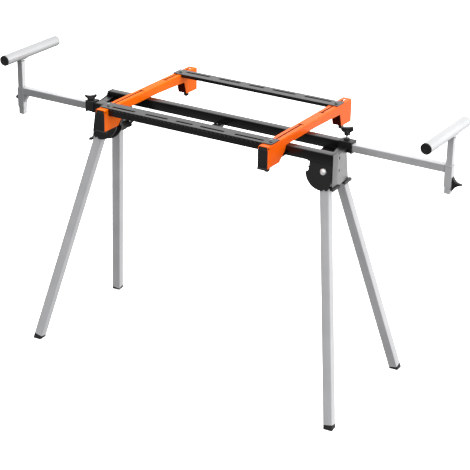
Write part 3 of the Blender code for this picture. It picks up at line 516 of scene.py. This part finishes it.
for key, leg in LEGS.items():
    m = frame_map(leg.p, leg.h, leg.n, leg.a)
    end = leg.len - 12.0 - GAP
    hole = lathe(frame_map(leg.p, leg.s, leg.t, leg.h), [(4.6, -20), (4.6, 20)], 32)
    make(key + "_leg", tube(m, rrect(LEG_W, LEG_W, 3.0), rrect(LEG_W - 3.2, LEG_W - 3.2, 1.5), -LEG_ABOVE, end), SILVER,
         [("-", hole)], bevel=0.3)
    # rubber foot, cut level at the floor
    out = rrect(LEG_W, LEG_W, 3.0)

    def ring(w, at):
        return [m(a_ * w, b_ * w, at) for a_, b_ in out]
    level = []
    for a_, b_ in out:
        q = m(a_, b_, leg.len)
        level.append(q + leg.a * (-q.z / leg.a.z))
    iw = LEG_W - 3.8
    rings = [level, ring(1.0, leg.len - 9.0), ring(1.0, leg.len - 12.0),
             [m(a_, b_, leg.len - 12.0) for a_, b_ in rrect(iw, iw, 1.2)],
             [m(a_, b_, leg.len - 28.0) for a_, b_ in rrect(iw, iw, 1.2)]]
    make(key + "_foot", loft(rings), RUBBER, bevel=0.5)
    # pivot bolt: domed head with a flange outside, nut inside
    m2 = frame_map(leg.p, leg.s, leg.t, leg.h)
    o0 = PLATE_IN + PLATE_T + GAP
    prof = [(4.1, -o0 - 8.0), (4.1, -o0), (4.1, o0), (10.5, o0), (10.7, o0 + 0.8), (10.3, o0 + 1.4)]
    for i in range(1, 9):
        q = math.radians(10 * i)
        prof.append((9.2 * math.cos(q) + 0.4, o0 + 1.5 + 3.6 * math.sin(q)))
    nut = prism(m2, [(7.6 * math.cos(math.radians(60 * i)), 7.6 * math.sin(math.radians(60 * i))) for i in range(6)],
                -o0 - 6.3, -o0 - 0.2)
    make(key + "_pivot_bolt", lathe(m2, prof, 48), BOLT, [("+", nut)], bevel=0.3)
    # lock lever: level grip bar on a neck, relieved where it passes the plates
    long_leg = abs(leg.p.x) > 410
    bs, bn, b0, b1 = (49.5, 29.6, -22.5, 23.5) if long_leg else (67.0, 23.5, -31.0, 17.0)
    bar_m = frame_map(leg.p + leg.a * bs + leg.n * bn, X if leg.p.x > 0 else -X, Z, Y if leg.p.y > 0 else -Y)
    bar = [(-5.0, -3.5), (3.0, -3.5), (3.0, -6.0), (5.5, -6.0), (5.5, 3.5), (-5.0, 3.5)]
    half = LEG_W / 2 + GAP
    neck = [(-11.0, half), (11.0, half), (11.0, bn - 3.0), (-11.0, bn - 3.0)]
    ops = [("+", prism(m, neck, bs - 3.2, bs + 3.2))]
    if long_leg:
        for d in (-17.25, 17.25):
            ops.append(("-", lathe(m2, [(QUAD_R + 0.8, d - 2.2), (QUAD_R + 0.8, d + 2.2)], 96)))
    make(key + "_lock_lever", prism(bar_m, bar, b0, b1), PLASTIC, ops, bevel=0.6, seg=3)


# ------------------------------------- arms, collars, sleeves, posts, tubes
def paint_front_shade(ob):
    """Painted shade: a darker copy of the drawn silver on the faces towards the operator."""
    ob.data.materials.append(SILVER_SHADE_FRONT)
    for p in ob.data.polygons:
        if p.normal.y < -0.6:
            p.material_index = 1


def arm_side(tag, sg, y, sx, post_bot, tube_z, tube_y, ci, co, boss_x, boss_top):
    inner, outer = sg * ARM_INNER_END, sx - sg * (SLEEVE_W / 2 + GAP)
    lo, hi = min(inner, outer), max(inner, outer)
    m = frame_map((0, y, ARM_Z), Y, Z, X)
    arm = make(tag + "_arm", tube(m, rrect(ARM_W, ARM_W, 2.5), rrect(ARM_W - 3.0, ARM_W - 3.0, 1.2), lo, hi), SILVER_X,
         bevel=0.3)
    path = [Vector((outer, y + a, ARM_Z + b)) for a, b in rrect(ARM_W - 1.0, ARM_W - 1.0, 2.0, 3) if ARM_Z + b < 818.5]
    extra(tag + "_arm_weld", tag + "_arm", bead([p + X * sg * 0.1 for p in path], 1.1), WELD, bevel=0)
    # sleeve
    m = frame_map((sx, y, 0), X, Y, Z)
    ops = []
    if tag == "left":
        gx = sx + SLEEVE_W / 2 - 0.7
        ops.append(("+", prism(frame_map((0, y, 0), X, Z, Y), [(gx, 767.0), (gx + 17.5, 794.9), (gx, 794.9)], -8, 8)))
    else:
        lip_o = [(a + 0.55, b) for a, b in rrect(SLEEVE_W + 1.1, SLEEVE_W + 2.2, 2.4)]
        lip_i = rrect(SLEEVE_W - 1.8, SLEEVE_W - 1.8, 1.0)
        ops.append(("+", tube(m, lip_o, lip_i, SLEEVE_TOP - 0.8, SLEEVE_TOP + 1.0)))
    sleeve = make(tag + "_sleeve", tube(m, rrect(SLEEVE_W, SLEEVE_W, 2.0), rrect(SLEEVE_W - 3, SLEEVE_W - 3, 1.0), SLEEVE_BOT,
                               SLEEVE_TOP), SILVER_Z, ops, bevel=0.35)
    # post with its saddle
    top = tube_z - TUBE_R - 2.6
    arc_o, arc_i = [], []
    for i in range(17):
        a = math.radians(-90 - 34 + 68 * i / 16.0)
        arc_o.append(((TUBE_R + 3.0) * math.cos(a), (TUBE_R + 3.0) * math.sin(a)))
        arc_i.append(((TUBE_R + GAP + 0.2) * math.cos(a), (TUBE_R + GAP + 0.2) * math.sin(a)))
    saddle = prism(frame_map((sx, y, tube_z), X, Z, Y), arc_o + arc_i[::-1], -POST_W / 2 - 1.0, POST_W / 2 + 15.0)
    post = make(tag + "_post", tube(m, rrect(POST_W, POST_W, 1.8), rrect(POST_W - 3, POST_W - 3, 0.8), post_bot, top),
         SILVER_Z, [("+", saddle)], bevel=0.35)
    # painted shade on the front faces of the left arm, sleeve and post
    if tag == "left":
        for ob in (arm, sleeve, post):
            paint_front_shade(ob)
    extra(tag + "_post_weld", tag + "_post",
          bead([Vector((sx + a, y + b, top - 1.2)) for a, b in rrect(POST_W + 0.4, POST_W + 0.4, 1.8, 3)], 1.0), WELD,
          bevel=0)
    # support tube and its caps
    tm = frame_map((sx, tube_y, tube_z), X, Z, Y)
    # the left tube takes the darker copy of the tube finish: painted shade
    make(tag + "_support_tube", tube(tm, circle(TUBE_R, 96), circle(TUBE_R - TUBE_WALL, 96), -TUBE_LEN / 2,
                                     TUBE_LEN / 2), CHROME_SHADE_L if tag == "left" else CHROME, bevel=0.4)
    for nm, dr in (("front", -1), ("rear", 1)):
        cm = frame_map((sx, tube_y + dr * TUBE_LEN / 2, tube_z), X * dr, Z, Y * dr)
        ri = TUBE_R - TUBE_WALL - GAP
        prof = [(ri, -12.0), (ri, GAP), (TUBE_R, GAP), (TUBE_R, 1.7), (TUBE_R - 0.5, 2.6), (TUBE_R - 1.8, 3.2),
                (TUBE_R - 3.6, 3.2), (TUBE_R - 4.4, 2.3), (6.2, 2.3), (5.4, 1.5)]
        make("%s_tube_%s_cap" % (tag, nm), lathe(cm, prof, 72), PLASTIC, bevel=0.25)
    # collar
    end = sg * RAIL_LEN / 2
    cw, ct = RAIL_W + 2 * GAP, 2.5
    t0 = RAIL_TOP + GAP
    u = [(-cw / 2 - ct, RAIL_BOT + 0.3), (-cw / 2, RAIL_BOT + 0.3), (-cw / 2, t0), (cw / 2, t0),
         (cw / 2, RAIL_BOT + 0.3), (cw / 2 + ct, RAIL_BOT + 0.3), (cw / 2 + ct, t0 + ct - 1.0),
         (cw / 2 + ct - 1.0, t0 + ct), (-cw / 2 - ct + 1.0, t0 + ct), (-cw / 2 - ct, t0 + ct - 1.0)]
    ow, oh = cw + 2 * ct, RAIL_H + GAP + ct + 2.7
    zc = t0 + ct - oh / 2
    ring_o = [(a, b + zc) for a, b in rrect(ow, oh, 1.6)]
    ring_i = [(a, b + ARM_Z) for a, b in rrect(ARM_W + 1.0, ARM_W + 1.0, 2.6)]
    c0 = end + sg * GAP
    rm = frame_map((0, y, 0), Y, Z, X)
    bm_ = frame_map((boss_x, y, 0), X, Y, Z)
    make(tag + "_collar", prism(rm, u, ci, end + sg * 1.5), PLASTIC,
         [("+", tube(rm, ring_o, ring_i, min(c0, co), max(c0, co))),
          ("+", lathe(bm_, [(9.6, RAIL_TOP + 1.5), (9.0, boss_top)], 40)),
          ("-", lathe(bm_, [(3.5, RAIL_TOP + 1.6), (3.5, boss_top + 3.0)], 32))], bevel=0.7, seg=3)


LK_X, RK_X = -445.0, 428.7
arm_side("left", -1.0, -RAIL_Y, SLEEVE_X_L, POST_BOT_L, TUBE_Z_L, TUBE_Y_L, -423.0, -454.5, LK_X, 829.5)
arm_side("right", 1.0, RAIL_Y, SLEEVE_X_R, POST_BOT_R, TUBE_Z_R, TUBE_Y_R, 409.0, 454.0, RK_X, 834.0)


def wing_knob(nd, x, y, z_neck, z_wing, z_tip, stud_low, hw, th, nw, dip, turn):
    n = 14
    top = []
    for i in range(n + 1):
        s = -1.0 + 2.0 * i / n
        top.append((hw * s * 0.94, z_tip - dip * (1 - s * s)))
    half = [(nw, z_neck), (nw + 0.6, z_wing - 4.0), (hw - 2.8, z_wing), (hw, z_wing + 3.5)]
    outline = [(-half[0][0], half[0][1])] + half + top[::-1] + [(-a, b) for a, b in half[:0:-1]]
    out = []
    for p in outline:
        if not out or (Vector(p) - Vector(out[-1])).length > 0.4:
            out.append(p)
    t = math.radians(turn)
    u = Vector((math.cos(t), math.sin(t), 0.0))
    zm = frame_map((x, y, 0), X, Y, Z)
    make(nd, prism(frame_map((x, y, 0), u, Z, Z.cross(u)), out, -th, th), PLASTIC,
         [("+", lathe(zm, [(nw - 0.4, z_neck - 0.4), (nw, z_wing - 4.5), (nw - 2.0, z_wing + 1.0)], 48))], bevel=1.1, seg=4)
    extra(nd + "_stud", nd, lathe(zm, [(2.9, stud_low), (2.9, z_neck + 2.0)], 24), ZINC, bevel=0.2)


wing_knob("left_wing_knob", LK_X, -RAIL_Y, 830.3, 837.5, 845.5, 827.2, 20.0, 5.0, 12.0, 4.5, 42.0)
wing_knob("right_wing_knob", RK_X, RAIL_Y, 844.0, 857.0, 870.0, 827.2, 19.0, 6.0, 8.5, 2.0, 31.0)

# post knob: wings at its base tapering into a flat grip
PK_X = SLEEVE_X_R + SLEEVE_W / 2
m = frame_map((PK_X, RAIL_Y, 0.0), Y, Z, X)
rings = []
for c, z0, z1, hy, r in ((0.5, 738.5, 783.0, 8.0, 1.2), (3.0, 741.5, 780.0, 8.0, 2.0), (7.0, 747.5, 774.5, 7.6, 3.0),
                         (12.0, 752.5, 770.0, 6.8, 3.0), (18.0, 756.5, 767.5, 5.6, 2.6), (26.0, 760.0, 766.4, 4.2, 1.8),
                         (32.5, 761.6, 765.6, 2.8, 1.2)):
    zc = 0.5 * (z0 + z1)
    rings.append([m(a, b + zc, c) for a, b in rrect(2 * hy, z1 - z0, r)])
make("right_post_knob", loft(rings), PLASTIC, bevel=0.5, seg=3, angle=40.0)

m = frame_map((SLEEVE_X_L - SLEEVE_W / 2, -RAIL_Y, 781.0), Y, Z, -X)
prof = [(3.2, GAP), (3.2, 4.0), (6.2, 4.0), (7.0, 5.0), (7.0, 10.5), (6.0, 12.0), (3.0, 12.0), (2.6, 11.0)]
screw = []
for r, c in prof:
    screw.append([m(r * (1.0 + (0.05 if (k % 2 and r > 6.5) else 0.0)) * math.cos(2 * math.pi * k / 48),
                    r * (1.0 + (0.05 if (k % 2 and r > 6.5) else 0.0)) * math.sin(2 * math.pi * k / 48), c)
                  for k in range(48)])
make("left_post_screw", loft(screw), PLASTIC, bevel=0)

# --------------------------------------------------------------- saw mount
SIDE = [(-187.0, 781.5), (-114.0, 781.5), (-106.0, 789.0), (-82.0, 810.0), (-75.0, 825.6), (110.0, 825.6),
        (277.0, 820.0), (290.0, 777.0), (355.0, 775.0)]


def saw_bracket(nd, x):
    rings = []
    hw, r = BR_W / 2, 3.2
    for y, zb in SIDE:
        ring = [(-hw, zb)]
        for i in range(7):
            a = math.radians(180 - 15 * i)
            ring.append((-hw + r + r * math.cos(a), BR_TOP - r + r * math.sin(a)))
        for i in range(7):
            a = math.radians(90 - 15 * i)
            ring.append((hw - r + r * math.cos(a), BR_TOP - r + r * math.sin(a)))
        ring += [(hw, zb), (hw - BR_T, zb), (hw - BR_T, BR_TOP - BR_T), (-hw + BR_T, BR_TOP - BR_T), (-hw + BR_T, zb)]
        rings.append([Vector((x + a, y, b)) for a, b in ring])
    ops = []
    for y0, y1, w in ((-154.0, 50.0, 5.2), (177.0, 343.0, 5.2)):
        ops.append(("-", prism(frame_map((x, 0.5 * (y0 + y1), 0), Y, X, Z), slot_shape(w, y1 - y0), 846.0, 856.0)))
    for yc in (45.0, 180.0):
        ops.append(("-", prism(frame_map((x, yc, 0), X, Y, Z), slot_shape(5.0, 22.0), 846.0, 856.0)))
    wi = hw - BR_T + 0.6
    ops.append(("+", box(x - wi, x + wi, 290.0, 292.0, 777.6, 826.0)))
    ops.append(("-", lathe(frame_map((x, LEV_Y, LEV_Z), Y, Z, X), [(2.6, -20), (2.6, 20)], 24)))
    # painted light: the left bracket takes the lighter, less reflective copy of the orange
    ob = make(nd, loft(rings), ORANGE_LIT_L if x < 0 else ORANGE, ops, bevel=0.4, seg=2)
    # painted shade: darker orange on the faces inside the channel and in its slots, where shade falls
    ob.data.materials.append(ORANGE_SHADE_IN)
    for p in ob.data.polygons:
        c = p.center / MM + CENTRE
        if abs(c.x - x) < hw - BR_T + 0.3 and not (p.normal.z > 0.5 and c.z > BR_TOP - 0.4) and c.y > -186.5 and c.y < 354.5:
            p.material_index = 1


saw_bracket("left_saw_bracket", BR_X_L)
saw_bracket("right_saw_bracket", BR_X_R)


def front_lever(nd, x):
    hw = BR_W / 2 - BR_T - 0.6
    m = frame_map((x, 0, 0), Y, Z, X)
    arm = prism(m, [(-188.7, 833.0), (-184.6, 833.0), (-179.6, 841.6), (-178.1, 845.0), (-179.6, 848.1), (-182.5, 849.4),
                    (-185.4, 848.1), (-186.7, 844.6), (-188.2, 839.6)], -hw, hw)
    lip = prism(m, [(-193.5, 778.5), (-189.0, 778.5), (-187.4, 780.2), (-187.4, 784.5), (-190.8, 784.5),
                    (-193.5, 781.5)], -BR_W / 2 + 0.4, BR_W / 2 - 0.4)
    pin = lathe(frame_map((x, LEV_Y, LEV_Z), Y, Z, X), [(2.3, -BR_W / 2 - 1.0), (2.3, BR_W / 2 + 1.0)], 24)
    make(nd, box(x - BR_W / 2, x + BR_W / 2, -190.0, -187.4, 781.0, 841.0), PLASTIC, [("+", arm), ("+", lip), ("+", pin)],
         bevel=0.6, seg=3)


front_lever("left_front_lever", BR_X_L)
front_lever("right_front_lever", BR_X_R)


def clamp_shoe(nd, x, w, ops=()):
    prof = [(-150.0, 786.2), (-52.0, 786.2), (-52.0, 792.4), (-60.0, 792.4), (-63.0, 789.2), (-147.0, 789.2),
            (-147.0, 815.0), (-150.0, 815.0)]
    make(nd, prism(frame_map((x, 0, 0), Y, Z, X), prof, -w / 2, w / 2), ZINC, ops, bevel=0.5)


CK_X, CK_Z = -299.5, 773.5
clamp_shoe("right_clamp_shoe", BR_X_R, 16.0)
clamp_shoe("left_clamp_shoe", BR_X_L - 4.0, 14.0, [("+", box(CK_X - 17.0, CK_X + 7.0, -62.4, -60.2, 766.0, 788.0))])
m = frame_map((CK_X, -62.7, CK_Z), X, Z, -Y)


def oval(k, c):
    return [m((18.0 - k) * math.cos(2 * math.pi * i / 56), (10.5 - k) * math.sin(2 * math.pi * i / 56), c)
            for i in range(56)]


make("left_clamp_knob", loft([oval(0.6, 0.0), oval(0.0, 0.8), oval(0.0, 4.6), oval(0.7, 5.9), oval(2.0, 6.6)]), PLASTIC,
     bevel=0)


def slotted_rail(nd, y0, y1, front_drop, rear_drop, rows):
    z0, z1 = SR_BOT, SR_BOT + SR_T
    fx0, fx1 = BR_X_L + BR_W / 2 + 1.0, BR_X_R - BR_W / 2 - 1.0
    cuts = []
    for yc, spans in rows:
        for x0, x1 in spans:
            cuts.append(prism(frame_map((0.5 * (x0 + x1), yc, 0), X, Y, Z), slot_shape(9.5, x1 - x0, 8), z0 - 4, z1 + 4))
    for bx in (BR_X_L, BR_X_R):
        cuts.append(lathe(frame_map((bx, 0.5 * (y0 + y1), 0), X, Y, Z), [(2.7, z0 - 4), (2.7, z1 + 4)], 24))
    seats = [lathe(frame_map((bx, 0.5 * (y0 + y1), 0), X, Y, Z), [(8.0, z1 - 0.3), (8.0, z1 + 3)], 48)
             for bx in (BR_X_L, BR_X_R)]
    make(nd, box(SR_X0, SR_X1, y0, y1, z0, z1), BLACK,
         [("+", box(fx0, fx1, y0, y0 + SR_T, z1 - front_drop, z1 - 0.6)),
          ("+", box(fx0, fx1, y1 - SR_T, y1, z1 - rear_drop, z1 - 0.6)), ("-", merge(*cuts)), ("-", merge(*seats))],
         bevel=0.6, seg=3)


slotted_rail("front_slotted_rail", FSR_Y0, FSR_Y1, 25.0, 22.0,
             [(-148.0, [(-299, -210), (-172, -88), (-58, 4), (30, 118), (154, 257)])])
slotted_rail("rear_slotted_rail", RSR_Y0, RSR_Y1, 11.0, 22.0,
             [(284.0, [(-298, -204), (-170, -84), (-52, 7), (37, 124), (158, 256)])])

# plain scale marks along the front slotted rail's front flange
ticks = []
x = BR_X_L + BR_W / 2 + 10.0
while x < BR_X_R - BR_W / 2 - 8.0:
    z1 = SR_BOT + SR_T - 1.0
    v = []
    for yy in (FSR_Y0 - 0.12, FSR_Y0 + 0.3):
        v += [(x + 2.8, yy, z1 - 6.5), (x + 5.2, yy, z1 - 6.5), (x - 2.8, yy, z1), (x - 5.2, yy, z1)]
    ticks.append((v, [(0, 1, 2, 3), (7, 6, 5, 4), (0, 4, 5, 1), (1, 5, 6, 2), (2, 6, 7, 3), (3, 7, 4, 0)]))
    x += 15.5
extra("front_rail_scale_marks", "front_slotted_rail", merge(*ticks), MARK, bevel=0)


def rail_bolt(nd, x, y):
    """Flanged hex bolt through the slotted rail, with washer and nut below."""
    m = frame_map((x, y, 0), X, Y, Z)
    zt, zb = SR_BOT + SR_T - 0.3 + GAP, BR_TOP - BR_T - GAP
    hexa = [(5.6 * math.cos(math.radians(60 * i + 12)), 5.6 * math.sin(math.radians(60 * i + 12))) for i in range(6)]
    nut = [(6.9 * math.cos(math.radians(60 * i + 5)), 6.9 * math.sin(math.radians(60 * i + 5))) for i in range(6)]
    prof = [(3.0, zb - 6.5), (3.0, zb - 5.2), (2.2, zb - 5.0), (2.2, zt), (7.0, zt), (7.0, zt + 1.0), (4.0, zt + 1.3)]
    make(nd, lathe(m, prof, 40), DARK_ZINC, [("+", prism(m, hexa, zt + 0.9, zt + 4.6)), ("+", prism(m, nut, zb - 5.0, zb - 0.1))],
         bevel=0.3)


for nm, bx in (("left", BR_X_L), ("right", BR_X_R)):
    rail_bolt("front_%s_bolt" % nm, bx, 0.5 * (FSR_Y0 + FSR_Y1))
    rail_bolt("rear_%s_bolt" % nm, bx, 0.5 * (RSR_Y0 + RSR_Y1))


def bumper(nd, x, y0, y1, z1):
    m = frame_map((x, 0, 0), X, Z, Y)
    hw = BR_W / 2
    prof = [(hw - 0.2, z1 - GAP), (hw - BR_T - GAP, z1 - GAP), (hw - BR_T - GAP, z1 + 4.0), (hw - 14.0, z1 + 4.0),
            (hw - 14.0, z1 - 7.5), (hw - 11.5, z1 - 10.5), (hw - 2.8, z1 - 10.5), (hw - 0.2, z1 - 7.5)]
    make(nd, prism(m, prof, y0, y1), RUBBER, bevel=0.9, seg=3)


for nm, bx in (("left", BR_X_L), ("right", BR_X_R)):
    bumper("front_%s_bumper" % nm, bx, -182.5, -170.5, 781.5)
    bumper("rear_%s_bumper" % nm, bx, 293.0, 305.0, 776.2)

# ------------------------------------------------------ floor, light, camera
sc = bpy.context.scene
sc.view_settings.view_transform = 'Standard'

fm = bpy.data.meshes.new("floor")
fm.from_pydata([(-40, -40, -0.001), (40, -40, -0.001), (40, 40, -0.001), (-40, 40, -0.001)], [], [(0, 1, 2, 3)])
floor = bpy.data.objects.new("floor", fm)
sc.collection.objects.link(floor)
mat = bpy.data.materials.new("pale_floor")
mat.use_nodes = True
fb = mat.node_tree.nodes["Principled BSDF"]
fb.inputs["Base Color"].default_value = (0.9, 0.9, 0.9, 1.0)
fb.inputs["Emission Color"].default_value = (1.0, 1.0, 1.0, 1.0)
fb.inputs["Emission Strength"].default_value = 1.0
fm.materials.append(mat)
for flag in ("visible_diffuse", "visible_glossy", "visible_transmission", "visible_shadow"):
    setattr(floor, flag, False)

# Soft surround: broad lobes of light by direction, white where the camera sees
# past the floor.
world = bpy.data.worlds.new("studio")
sc.world = world
world.use_nodes = True
wt = world.node_tree
wt.nodes.clear()
tc = node(wt, "ShaderNodeTexCoord")
total = None
LOBES = [
    # direction, dot from, dot to, strength
    ((0.30, 0.72, 0.66), -0.25, 0.90, 2.1),
    ((0.9, 0.15, 0.40), 0.30, 0.95, 0.45),
    ((0.1, 0.80, -0.60), 0.30, 0.95, 0.35),
    ((0.10, -0.60, 0.80), 0.25, 0.95, 1.5),
    ((-0.47, -0.40, -0.79), 0.70, 1.0, 0.75),
]
for d, lo, hi, k in LOBES:
    dv = Vector(d).normalized()
    dot = node(wt, "ShaderNodeVectorMath", operation='DOT_PRODUCT')
    dot.inputs[1].default_value = dv
    wt.links.new(tc.outputs["Generated"], dot.inputs[0])
    mr = node(wt, "ShaderNodeMapRange", interpolation_type='SMOOTHSTEP')
    mr.inputs["From Min"].default_value, mr.inputs["From Max"].default_value = lo, hi
    mr.inputs["To Min"].default_value, mr.inputs["To Max"].default_value = 0.0, k
    wt.links.new(dot.outputs["Value"], mr.inputs["Value"])
    add = node(wt, "ShaderNodeMath", operation='ADD')
    wt.links.new(mr.outputs["Result"], add.inputs[0])
    if total is None:
        add.inputs[1].default_value = 0.13
    else:
        wt.links.new(total, add.inputs[1])
    total = add.outputs["Value"]
soft = node(wt, "ShaderNodeBackground")
wt.links.new(total, soft.inputs["Strength"])
white = node(wt, "ShaderNodeBackground")
white.inputs["Strength"].default_value = 1.0
lp = node(wt, "ShaderNodeLightPath")
mix = node(wt, "ShaderNodeMixShader")
wt.links.new(lp.outputs["Is Camera Ray"], mix.inputs["Fac"])
wt.links.new(soft.outputs["Background"], mix.inputs[1])
wt.links.new(white.outputs["Background"], mix.inputs[2])
wo = node(wt, "ShaderNodeOutputWorld")
wt.links.new(mix.outputs["Shader"], wo.inputs["Surface"])

az, el, roll = math.radians(30.85), math.radians(23.71), math.radians(0.92)
look = Vector((-math.sin(az) * math.cos(el), math.cos(az) * math.cos(el), -math.sin(el)))
right = Vector((math.cos(az), math.sin(az), 0.0))
up = right.cross(look)
cr = right * math.cos(roll) + up * math.sin(roll)
cu = up * math.cos(roll) - right * math.sin(roll)
cam = bpy.data.objects.new("camera", bpy.data.cameras.new("camera"))
sc.collection.objects.link(cam)
rot = Matrix((cr, cu, -look)).transposed().to_4x4()
cam.matrix_world = Matrix.Translation((Vector((2422.19, -3932.9, 2459.01)) - CENTRE) * MM) @ rot
cam.data.sensor_width = 36.0
cam.data.lens = 1548.74 / 470.0 * 36.0
cam.data.clip_start, cam.data.clip_end = 0.05, 200.0
sc.camera = cam
